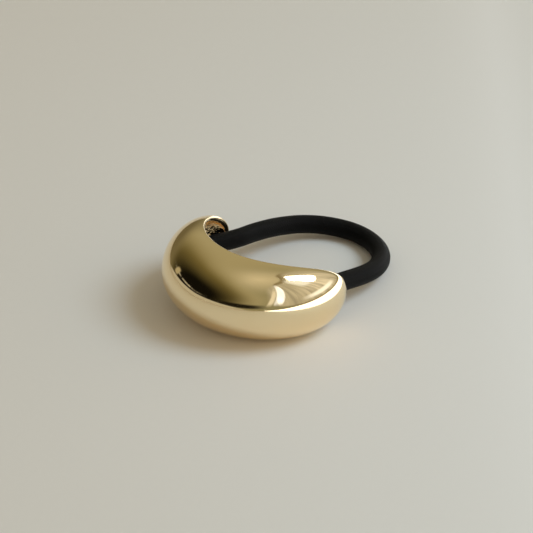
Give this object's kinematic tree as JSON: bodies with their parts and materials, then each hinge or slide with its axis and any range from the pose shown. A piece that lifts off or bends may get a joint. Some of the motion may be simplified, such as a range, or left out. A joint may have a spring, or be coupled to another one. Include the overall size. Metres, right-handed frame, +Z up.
{
  "type": "metal cuff hair tie",
  "caption": "Hollow domed metal cuff, open at the back, on a round covered elastic loop that gathers a ponytail.",
  "frame": {"origin": "on the table, below the middle of the metal cuff", "axes": "+X along the cuff from tip to tip, +Y from the cuff's crest towards the far end of the elastic loop, +Z up from the table"},
  "size_m": [0.0468, 0.0632, 0.0194],
  "materials": {
    "polished_gold": "mirror-polished pale gold plating on cast zinc alloy",
    "covered_elastic": "matte black fine knitted cover on a rubber core"
  },
  "bodies": {
    "root": {"cuff_shell": "polished_gold", "elastic_loop": "covered_elastic"}
  },
  "joints": []
}
